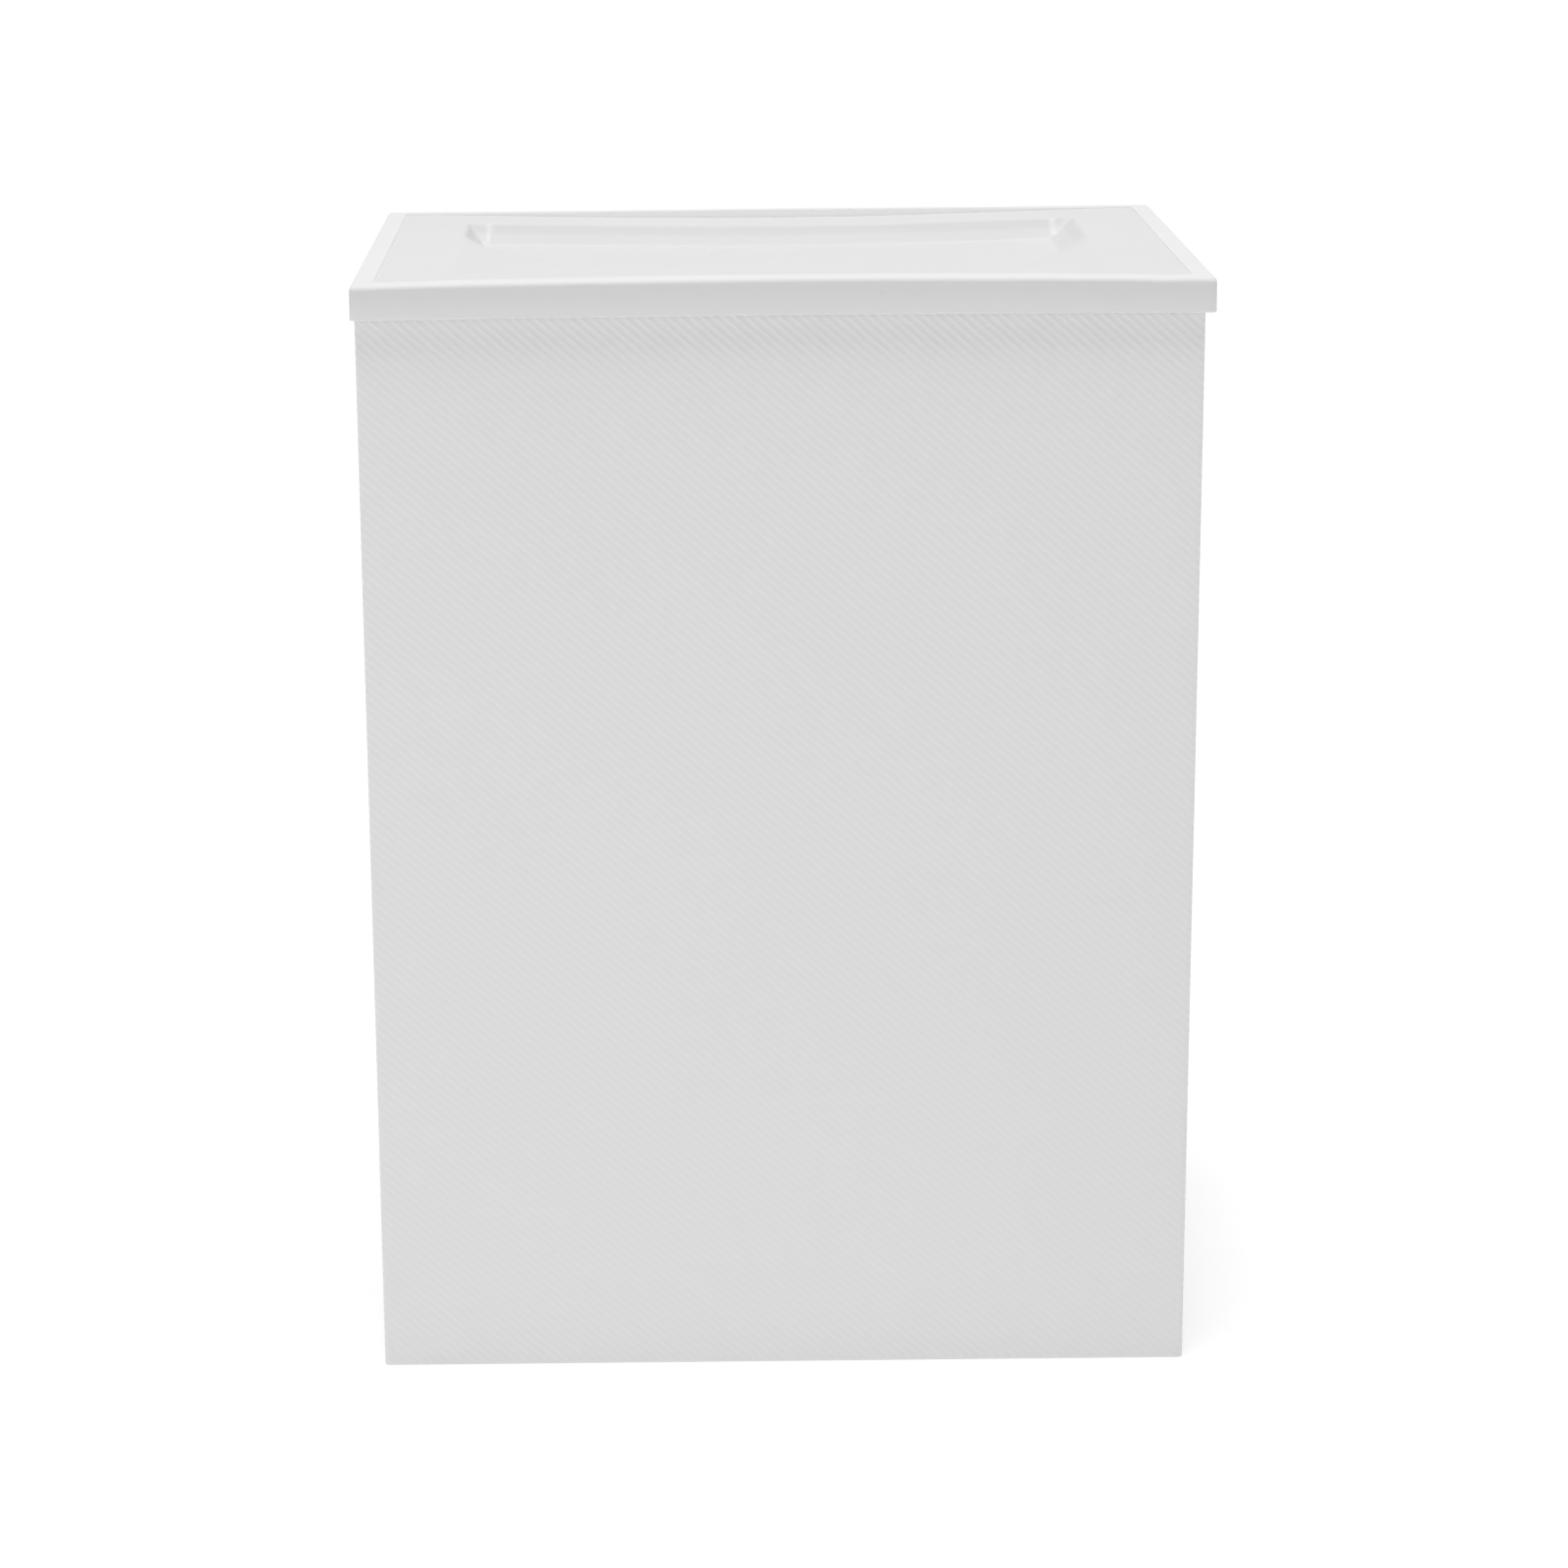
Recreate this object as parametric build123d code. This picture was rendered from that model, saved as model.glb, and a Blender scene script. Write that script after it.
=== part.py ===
"""Laundry hamper with a lift-off lid: a box of thin ribbed sheet on a moulded tray, with moulded rims.

Millimetres. +X is the hamper's right as seen from its front, +Y points to its back and +Z up.
The origin is the middle of the underside, on the floor. The lid is modelled closed.
"""
from build123d import *
import os

os.makedirs("parts", exist_ok=True)

# ---- Overall size ----
LID_WIDTH = 450.0
LID_DEPTH = 300.0
HEIGHT = 602.0
BODY_WIDTH = 442.5
BODY_DEPTH = 292.5

# ---- Sheet walls ----
SHEET = 1.5
FOLD_RADIUS = 3.0  # outside radius of the folded upright corners
FLAP = 28.0  # how far the folded sheet runs along the back at each side

# ---- Base tray ----
FOOT_LIP = 1.2  # the step that the sheet stands on
TRAY_WALL = 2.2
TRAY_HEIGHT = 38.0
FLOOR_BOTTOM = 3.0
FLOOR_THICK = 2.5
UNDER_RIB = 2.0
UNDER_RIBS_ACROSS = 7
UNDER_RIBS_ALONG = 5
STEP_WIDTH = 6.0
PLATE_CORNER = 1.0
HUB_RADIUS = 16.0  # round foot in the middle of the underside

# ---- Top rim ----
BEAD_HEIGHT = 3.0
BEAD_ROUND = 0.8
RIM_LEG = 2.7
RIM_LEG_DROP = 32.0
RIM_SHELF = 8.0  # inward stiffening shelf at the foot of the leg
RIM_SHELF_THICK = 2.0
MOUTH_CORNER = 1.0
PAD_PLAY = 1.0  # gap between the pad at the back and each folded flap
REST_GAP = 0.1  # between the rim's bead and the closed lid

# ---- Seam rivets ----
RIVETS_PER_SEAM = 8
RIVET_LOWEST = 58.0
RIVET_HIGHEST = 550.0
RIVET_SHANK = 4.0
RIVET_HEAD = 9.0
RIVET_HEAD_HEIGHT = 1.4
RIVET_TAIL = 7.5
RIVET_TAIL_HEIGHT = 1.0
SHANK_PLAY = 0.05

# ---- Lid frame ----
LID_OFFSET = 1.5  # the loose lid sits this far to the right of the body's middle
SKIRT = 1.7
SKIRT_HEIGHT = 17.2
RIM_WIDTH = 12.0
LID_TOP_THICK = 2.0
INNER_RIB = 1.5
INNER_RIB_DROP = 12.0
LID_CORNER = 3.5
LID_EDGE_ROUND = 2.5
OPENING_CORNER = 2.0
EAR_WIDTH = 16.0
EAR_REACH = 12.0
EAR_THICK = 2.0
EAR_TOP = HEIGHT - 6.5
EAR_HOLE = 3.4
EAR_INSET = 5.0  # from the opening's edge to the screw's axis
EAR_SPREAD_X = 180.0
EAR_SPREAD_Y = 62.0

# ---- Lid panel ----
PANEL_THICK = 2.0
PANEL_STEP = 0.3  # the panel's border lies this far below the lid's rim
PANEL_PLAY = 0.4  # gap all round between panel and frame
PANEL_CORNER = 1.6
RECESS_WIDTH = 350.0
RECESS_DEPTH = 206.0
RECESS_DROP = 11.0
RECESS_CORNER = 14.0
BACK_RUN = 12.8  # how far the recess's back wall leans in
SIDE_RUN = 45.0
FRONT_RUN = 30.0
FLOOR_CORNER = 4.0
DISH_RADIUS = 38.0
DISH_DEEP = 1.2
DISH_BACK = 48.0  # from the panel's middle towards the back
BOSS = 7.0
PILOT_HOLE = 3.0
PILOT_ROOF = 1.0  # plastic left above each pilot hole

# ---- Lid screws ----
SCREW_SHANK = 2.9
SCREW_HEAD = 6.0
SCREW_HEAD_HEIGHT = 2.0
SCREW_HEAD_ROUND = 0.8
SCREW_LENGTH = 5.6
SCREW_SLOT = 1.0
SCREW_SLOT_DEPTH = 0.9

# ---- Modelling ----
CUT = 1.0  # how far a cutting shape reaches past the face it cuts
SKIM = 0.01  # how far the dish's cutter stands above the recess floor, so that no skin is left
MERGE = 0.5  # how far two shapes that become one solid reach into each other
SMALLEST_CORNER = 0.3

# ---- Worked out from the above ----
LID_UNDER = HEIGHT - LID_TOP_THICK
BEAD_TOP = LID_UNDER - REST_GAP
SHEET_TOP = BEAD_TOP - BEAD_HEIGHT
WRAP_DEPTH = BODY_DEPTH - SHEET  # the back panel laps outside the folded sheet
WRAP_Y = -SHEET / 2
INSIDE_WIDTH = BODY_WIDTH - 2 * SHEET
INSIDE_DEPTH = WRAP_DEPTH - 2 * SHEET
INSIDE_RADIUS = FOLD_RADIUS - SHEET
WRAP_BACK = WRAP_Y + WRAP_DEPTH / 2
OPENING_WIDTH = LID_WIDTH - 2 * RIM_WIDTH
OPENING_DEPTH = LID_DEPTH - 2 * RIM_WIDTH
PANEL_TOP = HEIGHT - PANEL_STEP
PANEL_UNDER = PANEL_TOP - PANEL_THICK
SEAM_X = BODY_WIDTH / 2 - SHEET - FLAP / 2
RIVET_STEP = (RIVET_HIGHEST - RIVET_LOWEST) / (RIVETS_PER_SEAM - 1)


def block(width, depth, radius, bottom, top, y=0.0):
    """An upright block with rounded corners, its middle at (0, y)."""
    return Pos(0, y, bottom) * extrude(RectangleRounded(width, depth, radius), top - bottom)


def ring(width, depth, radius, wall, bottom, top, y=0.0):
    """A block with a straight hole through it that leaves a wall of even width."""
    hole_radius = max(radius - wall, SMALLEST_CORNER)
    hole = block(width - 2 * wall, depth - 2 * wall, hole_radius, bottom, top, y)
    return block(width, depth, radius, bottom, top, y) - hole


def slab(x0, x1, y0, y1, z0, z1):
    """A plain box between two corners."""
    return Pos((x0 + x1) / 2, (y0 + y1) / 2, (z0 + z1) / 2) * Box(x1 - x0, y1 - y0, z1 - z0)


def pin(radius, x, y, bottom, top):
    """An upright round bar."""
    return Pos(x, y, (bottom + top) / 2) * Cylinder(radius, top - bottom)


def rod_y(radius, x, z, front, back):
    """A round bar along Y."""
    return Pos(x, (front + back) / 2, z) * Rot(90, 0, 0) * Cylinder(radius, back - front)


def spread(count, width):
    """Even places between the two ends of a width, about its middle."""
    gap = width / (count + 1)
    return [(i + 1) * gap - width / 2 for i in range(count)]


def seam_places():
    """X and Z of every seam rivet."""
    heights = [RIVET_LOWEST + i * RIVET_STEP for i in range(RIVETS_PER_SEAM)]
    return [(x, z) for x in (-SEAM_X, SEAM_X) for z in heights]


def back_pad(bottom, top):
    """Fills the step between the two folded flaps, so that the back panel is bonded there too."""
    half = INSIDE_WIDTH / 2 - FLAP - PAD_PLAY
    return slab(-half, half, WRAP_BACK - SHEET - MERGE, WRAP_BACK, bottom, top)


def ear_places():
    """X, Y and the inward direction of every screw ear, about the lid's own middle."""
    front = OPENING_DEPTH / 2 - EAR_INSET
    side = OPENING_WIDTH / 2 - EAR_INSET
    long_sides = [(x, s * front, 0, -s) for x in (-EAR_SPREAD_X, EAR_SPREAD_X) for s in (-1, 1)]
    short_sides = [(s * side, y, -s, 0) for y in (-EAR_SPREAD_Y, EAR_SPREAD_Y) for s in (-1, 1)]
    return long_sides + short_sides


def shell_wrap():
    """One ribbed sheet folded round the front and both sides, with a flap at each back corner."""
    wrap = ring(BODY_WIDTH, WRAP_DEPTH, FOLD_RADIUS, SHEET, FOOT_LIP, SHEET_TOP, WRAP_Y)
    half_gap = INSIDE_WIDTH / 2 - FLAP
    wrap -= slab(-half_gap, half_gap, WRAP_BACK - SHEET - CUT, WRAP_BACK + CUT, 0, HEIGHT)
    for x, z in seam_places():
        wrap -= rod_y(RIVET_SHANK / 2 + SHANK_PLAY, x, z, WRAP_BACK - SHEET - CUT, WRAP_BACK + CUT)
    return wrap


def back_panel():
    """The flat ribbed sheet that closes the back, lapped over the two flaps."""
    half = BODY_WIDTH / 2 - FOLD_RADIUS
    panel = slab(-half, half, WRAP_BACK, WRAP_BACK + SHEET, FOOT_LIP, SHEET_TOP)
    for x, z in seam_places():
        panel -= rod_y(RIVET_SHANK / 2 + SHANK_PLAY, x, z, WRAP_BACK - CUT, WRAP_BACK + SHEET + CUT)
    return panel


def seam_rivets():
    """Blind rivets through back panel and flap: low round head outside, flat tail inside."""
    ball = ((RIVET_HEAD / 2) ** 2 + RIVET_HEAD_HEIGHT**2) / (2 * RIVET_HEAD_HEIGHT)
    head_base = 2 * SHEET
    head = Pos(0, 0, head_base + RIVET_HEAD_HEIGHT - ball) * Sphere(ball)
    head &= pin(RIVET_HEAD, 0, 0, head_base, head_base + 2 * RIVET_HEAD_HEIGHT)
    shank = pin(RIVET_SHANK / 2, 0, 0, -RIVET_TAIL_HEIGHT, head_base + RIVET_HEAD_HEIGHT / 2)
    rivet = head + shank + pin(RIVET_TAIL / 2, 0, 0, -RIVET_TAIL_HEIGHT, 0)
    along_y = Pos(0, WRAP_BACK - SHEET, 0) * Rot(-90, 0, 0) * rivet
    return Compound(children=[(Pos(x, 0, z) * along_y).solid() for x, z in seam_places()])


def top_rim():
    """Moulded ring over the sheet's top edge: bead above, leg inside, shelf at the leg's foot."""
    foot = SHEET_TOP - RIM_LEG_DROP
    bead = block(BODY_WIDTH, BODY_DEPTH, FOLD_RADIUS, SHEET_TOP, BEAD_TOP)
    bead = fillet(bead.faces().sort_by(Axis.Z)[-1].edges(), BEAD_ROUND)
    mouth_width = INSIDE_WIDTH - 2 * RIM_LEG
    mouth_depth = INSIDE_DEPTH - 2 * RIM_LEG
    bead -= block(mouth_width, mouth_depth, MOUTH_CORNER, SHEET_TOP - CUT, HEIGHT, WRAP_Y)
    leg = ring(INSIDE_WIDTH, INSIDE_DEPTH, INSIDE_RADIUS, RIM_LEG, foot, SHEET_TOP, WRAP_Y)
    shelf_top = foot + RIM_SHELF_THICK
    shelf_wall = RIM_LEG + RIM_SHELF
    shelf = ring(INSIDE_WIDTH, INSIDE_DEPTH, INSIDE_RADIUS, shelf_wall, foot, shelf_top, WRAP_Y)
    return bead + leg + shelf + back_pad(foot, SHEET_TOP)


def base_tray():
    """Moulded floor: an upstand inside the sheet, a step under it, and ribs below the floor."""
    upstand = ring(INSIDE_WIDTH, INSIDE_DEPTH, INSIDE_RADIUS, TRAY_WALL, 0, TRAY_HEIGHT, WRAP_Y)
    step = ring(BODY_WIDTH, BODY_DEPTH, FOLD_RADIUS, STEP_WIDTH, 0, FOOT_LIP)
    floor_top = FLOOR_BOTTOM + FLOOR_THICK
    plate_width = INSIDE_WIDTH - TRAY_WALL
    plate_depth = INSIDE_DEPTH - TRAY_WALL
    plate = block(plate_width, plate_depth, PLATE_CORNER, FLOOR_BOTTOM, floor_top, WRAP_Y)
    tray = upstand + step + plate + back_pad(FOOT_LIP, TRAY_HEIGHT)
    half_x = plate_width / 2
    half_y = plate_depth / 2
    half_rib = UNDER_RIB / 2
    for x in spread(UNDER_RIBS_ACROSS, plate_width):
        tray += slab(x - half_rib, x + half_rib, WRAP_Y - half_y, WRAP_Y + half_y, 0, FLOOR_BOTTOM)
    for offset in spread(UNDER_RIBS_ALONG, plate_depth):
        y = WRAP_Y + offset
        tray += slab(-half_x, half_x, y - half_rib, y + half_rib, 0, FLOOR_BOTTOM)
    return tray + pin(HUB_RADIUS, 0, 0, 0, FLOOR_BOTTOM)


def lid_frame():
    """Moulded lid rim: skirt outside, flat top, locating rib inside, and screw ears on the rib."""
    foot = HEIGHT - SKIRT_HEIGHT
    outer = block(LID_WIDTH, LID_DEPTH, LID_CORNER, foot, HEIGHT)
    outer = fillet(outer.faces().sort_by(Axis.Z)[-1].edges(), LID_EDGE_ROUND)
    hollow_width = LID_WIDTH - 2 * SKIRT
    hollow_depth = LID_DEPTH - 2 * SKIRT
    frame = outer - block(hollow_width, hollow_depth, LID_CORNER - SKIRT, foot - CUT, LID_UNDER)
    frame -= block(OPENING_WIDTH, OPENING_DEPTH, OPENING_CORNER, LID_UNDER - CUT, HEIGHT + CUT)
    rib_width = OPENING_WIDTH + 2 * INNER_RIB
    rib_depth = OPENING_DEPTH + 2 * INNER_RIB
    rib_corner = OPENING_CORNER + INNER_RIB
    frame += ring(rib_width, rib_depth, rib_corner, INNER_RIB, HEIGHT - INNER_RIB_DROP, LID_UNDER)
    inward = EAR_REACH / 2 - EAR_INSET - INNER_RIB / 2
    for x, y, in_x, in_y in ear_places():
        mid_x = x + in_x * inward
        mid_y = y + in_y * inward
        half_x = (EAR_REACH + INNER_RIB if in_x else EAR_WIDTH) / 2
        half_y = (EAR_REACH + INNER_RIB if in_y else EAR_WIDTH) / 2
        ear_x = (mid_x - half_x, mid_x + half_x)
        ear_y = (mid_y - half_y, mid_y + half_y)
        frame += slab(*ear_x, *ear_y, EAR_TOP - EAR_THICK, EAR_TOP)
        frame -= pin(EAR_HOLE / 2, x, y, EAR_TOP - EAR_THICK - CUT, EAR_TOP + CUT)
    return Pos(LID_OFFSET, 0, 0) * frame


def recess_form(grow, top):
    """The recess as a solid: a steep wall at the back and gentle ones at the sides and the front."""
    width = RECESS_WIDTH + 2 * grow
    depth = RECESS_DEPTH + 2 * grow
    mouth = RectangleRounded(width, depth, RECESS_CORNER + grow)
    floor_width = width - 2 * SIDE_RUN
    floor_depth = depth - BACK_RUN - FRONT_RUN
    floor = RectangleRounded(floor_width, floor_depth, FLOOR_CORNER + grow)
    floor_y = (FRONT_RUN - BACK_RUN) / 2
    return loft([Pos(0, 0, top) * mouth, Pos(0, floor_y, top - RECESS_DROP) * floor], ruled=True)


def lid_panel():
    """Moulded insert of even wall: a border, a wide flat-floored recess, a shallow round dish."""
    width = OPENING_WIDTH - 2 * PANEL_PLAY
    depth = OPENING_DEPTH - 2 * PANEL_PLAY
    panel = block(width, depth, PANEL_CORNER, PANEL_UNDER, PANEL_TOP)
    panel += recess_form(PANEL_THICK, PANEL_UNDER)
    panel -= recess_form(0, PANEL_TOP)
    floor = PANEL_TOP - RECESS_DROP
    ball = (DISH_RADIUS**2 + DISH_DEEP**2) / (2 * DISH_DEEP)
    dish = Pos(0, DISH_BACK, floor - DISH_DEEP + ball) * Sphere(ball)
    panel -= dish & pin(DISH_RADIUS + CUT, 0, DISH_BACK, floor - 2 * DISH_DEEP, floor + SKIM)
    for x, y, _, _ in ear_places():
        panel += pin(BOSS / 2, x, y, EAR_TOP, PANEL_UNDER + MERGE)
        panel -= pin(PILOT_HOLE / 2, x, y, EAR_TOP - CUT, PANEL_TOP - PILOT_ROOF)
    return Pos(LID_OFFSET, 0, 0) * panel


def lid_screws():
    """Slotted pan-head screws, driven from below through the ears into the panel's bosses."""
    head_top = EAR_TOP - EAR_THICK
    head_bottom = head_top - SCREW_HEAD_HEIGHT
    head = pin(SCREW_HEAD / 2, 0, 0, head_bottom, head_top)
    head = fillet(head.faces().sort_by(Axis.Z)[0].edges(), SCREW_HEAD_ROUND)
    half_slot = SCREW_SLOT / 2
    slot_top = head_bottom + SCREW_SLOT_DEPTH
    head -= slab(-SCREW_HEAD, SCREW_HEAD, -half_slot, half_slot, head_bottom - CUT, slot_top)
    shank = pin(SCREW_SHANK / 2, 0, 0, head_top, head_top + SCREW_LENGTH)
    screw = Pos(LID_OFFSET, 0, 0) * (head + shank)
    return Compound(children=[(Pos(x, y, 0) * screw).solid() for x, y, _, _ in ear_places()])


PARTS = {
    "shell_wrap": shell_wrap,
    "back_panel": back_panel,
    "seam_rivets": seam_rivets,
    "top_rim": top_rim,
    "base_tray": base_tray,
    "lid_frame": lid_frame,
    "lid_panel": lid_panel,
    "lid_screws": lid_screws,
}

for name, make in PARTS.items():
    export_step(make(), f"parts/{name}.step")
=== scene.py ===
"""Looks of the laundry hamper: ribbed walls, warped lid rim, sagging lid insert, light and camera.

Metres, in the CAD model's frame: +X to the hamper's right, +Y to its back, +Z up, origin on the floor.
"""
import math

import bpy
from mathutils import Matrix, Vector


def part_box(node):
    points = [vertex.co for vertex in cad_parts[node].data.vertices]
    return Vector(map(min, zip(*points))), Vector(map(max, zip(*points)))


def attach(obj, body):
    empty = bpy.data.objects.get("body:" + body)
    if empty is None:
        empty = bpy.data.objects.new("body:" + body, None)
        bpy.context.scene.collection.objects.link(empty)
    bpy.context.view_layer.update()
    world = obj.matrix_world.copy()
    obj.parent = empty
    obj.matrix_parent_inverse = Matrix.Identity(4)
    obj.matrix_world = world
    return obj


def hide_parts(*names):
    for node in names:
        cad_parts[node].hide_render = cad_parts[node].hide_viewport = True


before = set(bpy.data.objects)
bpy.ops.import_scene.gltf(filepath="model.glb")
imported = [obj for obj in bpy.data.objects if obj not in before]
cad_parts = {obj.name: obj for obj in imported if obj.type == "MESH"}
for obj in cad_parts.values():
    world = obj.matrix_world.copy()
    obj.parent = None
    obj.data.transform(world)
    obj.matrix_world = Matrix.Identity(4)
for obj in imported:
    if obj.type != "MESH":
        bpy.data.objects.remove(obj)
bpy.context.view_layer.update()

MM = 0.001

# ---- The sheet and its ribs ----
CAD_SHEET = 1.5 * MM
SHEET = 1.45 * MM  # whole thickness, ribs included: less than in CAD, to clear the mouldings inside
RIB_HEIGHT = 0.10 * MM
RIB_HALF = 0.90 * MM
RIB_SHOULDER = 0.42 * MM
SHOULDER_RISE = 0.7  # the rib's height at its shoulder, for 1 at its crest
RIB_STEP_U = 5.76 * MM  # from rib to rib along the wall
RIB_STEP_V = 5.20 * MM  # from rib to rib up the wall
CREST_HIGHLIGHT_LOW = 0.4  # painted highlight on the ribs' crests at the floor, for 1 at the top edge: it fades downwards
FOLD_RADIUS = 3.0 * MM
FOLD_STEPS = 5
COLUMN = 34.0 * MM  # widest step between two columns of points
FLAP = 28.0 * MM
EDGE_FADE = 70.0 * MM  # the sheet is held flat along its edges and folds, and waves only beyond this
WAVE = 0.9 * MM
LONG_PART, LONG_TURN = 0.2333, 9.0  # a wave along the wall: its part of WAVE, and radians for each metre
SHORT_PART, SHORT_TURN = 0.14, 17.0
BELLY_PART = 0.32  # a hollow over the wall's whole height
SWELL_PART, SWELL_TURN = 0.20, 2.6 * math.pi  # a wave up the wall: part of WAVE, radians over the height
WRAP_PHASE = 0.9
BACK_PHASE = 2.3
SHEET_SHARP = 40  # degrees: edges that turn by more are shaded sharp
CUT_PLAY = 1e-9  # a point this close to a cut counts as on it
SAME_DIGITS = 8  # points that agree to this many decimals are one

# ---- The lid's rim ----
SKIRT = 1.7 * MM
RIM_WIDTH = 12.0 * MM
TOP_THICK = 2.0 * MM
INNER_RIB = 1.5 * MM
INNER_RIB_DROP = 12.0 * MM
LID_CORNER = 3.5 * MM
TIGHT_INSET = 2.5 * MM  # this far in from the outside the rim's corners are tightest
OPENING_CORNER = 2.0 * MM
LIP = 0.45 * MM  # bevel along the section's lower edges
EDGE_ROUND = 2.9 * MM
INNER_ROUND = 0.3 * MM
EDGE_PLAY = 0.1 * MM
FLARE_STEPS = 4
EDGE_STEPS = 8
INNER_STEPS = 4
SKIRT_ROW = 0.6  # of the skirt's height: a row of points above the flare
TOP_ROWS = (0.4, 0.6)  # of the rim's width: rows of points across its flat top
LENS_LEAN = 0.60  # run of the rim's inner edge for each unit it has sunk at the back
SKIRT_FLARE = 0.15 * MM  # the skirt's foot turns out by this much
FLARE_HEIGHT = 0.36  # of the skirt's height
FOOT_HIGHLIGHT_SPAN = 0.9  # painted highlight: the skirt is painted paler over this part of its height, most at the foot
SIDE_STEPS = 36
CORNER_STEPS = 8
FRONT_RAISE = 1.2 * MM  # the lid's front stands a little higher than its back
BOW_TOP = 2.5 * MM  # the front of the rim has warped up in the middle
BOW_SKIRT = 1.2 * MM
FRONT_FROM, FRONT_FADE = 0.86, 0.05  # of half the lid's depth: where the warp of the front begins
DIP = 0.45 * MM  # a small dip in the front's edge near its right end
DIP_PLACE = 0.87  # of half the lid's width
DIP_WIDTH = 9.0 * MM
UNEVEN_X, UNEVEN_TURN, UNEVEN_PHASE = 0.10 * MM, 31, 1.3  # a faint wave along X, 31 radians for each metre
UNEVEN_Y, UNEVEN_TURN_Y, UNEVEN_TURN_X = 0.08 * MM, 53, 17  # a faint wave on the slant
EAR_WIDTH = 16.0 * MM
EAR_REACH = 12.0 * MM
EAR_THICK = 2.0 * MM
EAR_DROP = 6.5 * MM
EAR_HOLE = 1.7 * MM
SCREW_INSET = 5.0 * MM
EAR_SPREAD_X = 180.0 * MM
EAR_SPREAD_Y = 62.0 * MM
ROUND_STEPS = 24  # sides of an ear's hole and of a boss
RIM_SHARP = 32

# ---- The lid's insert ----
PANEL_THICK = 2.0 * MM
PANEL_STEP = 0.18 * MM  # how far the border lies under the rim's top at the corners
RECESS_WIDTH = 350.0 * MM
RECESS_DEPTH = 206.0 * MM
RECESS_DROP = 11.0 * MM
BACK_RUN = 11.8 * MM  # how far the recess's back wall leans in
LEFT_RUN = 9.0 * MM  # the left wall, near its back corner
RIGHT_RUN = 14.0 * MM
SIDE_RUN = 50.0 * MM  # both side walls further forward
FRONT_RUN = 32.0 * MM
LEFT_HOLD = 42.0 * MM  # each side wall stays narrow this far forward of its back corner
LEFT_FADE = 45.0 * MM  # how far further it takes to reach its wide run
RIGHT_HOLD = 60.0 * MM
RIGHT_FADE = 90.0 * MM
BEND_RUN, BEND_DROP = 0.42, 0.50  # the walls are steeper above this point of their run and their drop
BEND_SOFT = 0.14  # of the run: over how much of it each bend is rounded
SOFT_LEAST = 0.30  # how gently two walls of the recess run into each other
PLEAT_PLACE = 163.0 * MM
PLEAT_HALF = 1.8 * MM
PLEAT_RUN = 2.5 * MM
DISH_RADIUS = 36.0 * MM
DISH_DEEP = 1.4 * MM
DISH_BACK = 48.0 * MM  # from the lid's middle towards the back
DISH_POWER = 6  # the dish is nearly flat inside and falls steeply at its edge
DISH_LIP = 0.45 * MM  # the dish has a faint raised edge
DISH_LIP_WIDTH = 0.035  # of the dish's radius
DISH_LIP_END = 1.12
SAG_BACK = 3.6 * MM
SAG_FRONT = 0.8 * MM
SAG_SPAN = 0.93  # of the insert's half width
SAG_SHAPE = 1.3
BACK_FROM, BACK_FADE = -0.2, 1.1  # of half the insert's depth: where the sag towards the back begins
FORE_FROM, FORE_FADE = -0.1, 1.0
BOW_FROM, BOW_FADE = 0.72, 0.28  # of half the insert's depth: where the border rises with the rim's bow
RIPPLE = 0.12 * MM
RIPPLE_X, RIPPLE_X_PHASE = 27, 0.4  # radians for each metre, and radians
RIPPLE_Y, RIPPLE_Y_PHASE = 34, 1.0
RIPPLE_HOLD = 20.0 * MM  # no ripple at the insert's edge, and all of it this far in
BOSS_RADIUS = 3.5 * MM
FINE_STEP = 1.0 * MM
COARSE_STEP = 5.0 * MM
FINE_MARGIN = 6.0 * MM  # fine steps reach this far past the foot of the back wall
MOUTH_MARGIN = 0.5 * MM
DISH_MARGIN = 1.1  # of the dish's radius
SLOPE_STEP = 0.5 * MM
STEEPEST = 1.5  # most that the upright thickness grows by on a slope
INSERT_SHARP = 38

# ---- Camera: a 90 mm lens a little above the lid, framed by shifting the lens ----
CAMERA_PLACE = Vector((-55.6, -2168.3, 908.8)) * MM
CAMERA_DOWN = math.radians(14.04)
CAMERA_ROLL = math.radians(0.584)
CAMERA_LENS = 90.3
CAMERA_SENSOR = 36.0
CAMERA_SHIFT = (0.0686, -0.0809)

# ---- Floor and light ----
FLOOR_HALF = 40.0
FRONT_GLOW = 0.12  # brightness of the surroundings at the horizon, in front, at the sides and behind
SIDE_GLOW = 1.00
BACK_GLOW = 0.75
ZENITH_GLOW = 0.15
FLOOR_GLOW = 0.50  # the floor gives off this much light
TOP_LIGHT = 2.95
TOP_TOWARD = (0.02, 0.06, -1.0)
TOP_SPREAD = 22.0
FRONT_LIGHT = 7.3
FRONT_PLACE = (-0.40, -2.60, 1.90)
FRONT_TOWARD = (0.15, 1.0, -0.55)
FRONT_SIZE = (2.0, 1.2)
LOW_LIGHT = 0.35
LOW_PLACE = (-0.25, -0.90, 0.11)
LOW_TOWARD = (0.20, 1.0, 0.02)
LOW_SIZE = (0.8, 0.16)


def smooth(x):
    """0 below 0, 1 above 1, and a smooth step between."""
    x = min(max(x, 0.0), 1.0)
    return x * x * (3 - 2 * x)


# ---------------------------------------------------------------- materials

def new_material(name):
    """A node material, with its node tree and its shader."""
    material = bpy.data.materials.new(name)
    material.use_nodes = True
    return material, material.node_tree, material.node_tree.nodes["Principled BSDF"]


def node(tree, kind, **values):
    """A node with its properties and its unlinked inputs set by name."""
    made = tree.nodes.new(kind)
    for key, value in values.items():
        if hasattr(made, key):
            setattr(made, key, value)
        else:
            made.inputs[key.replace("_", " ")].default_value = value
    return made


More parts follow.
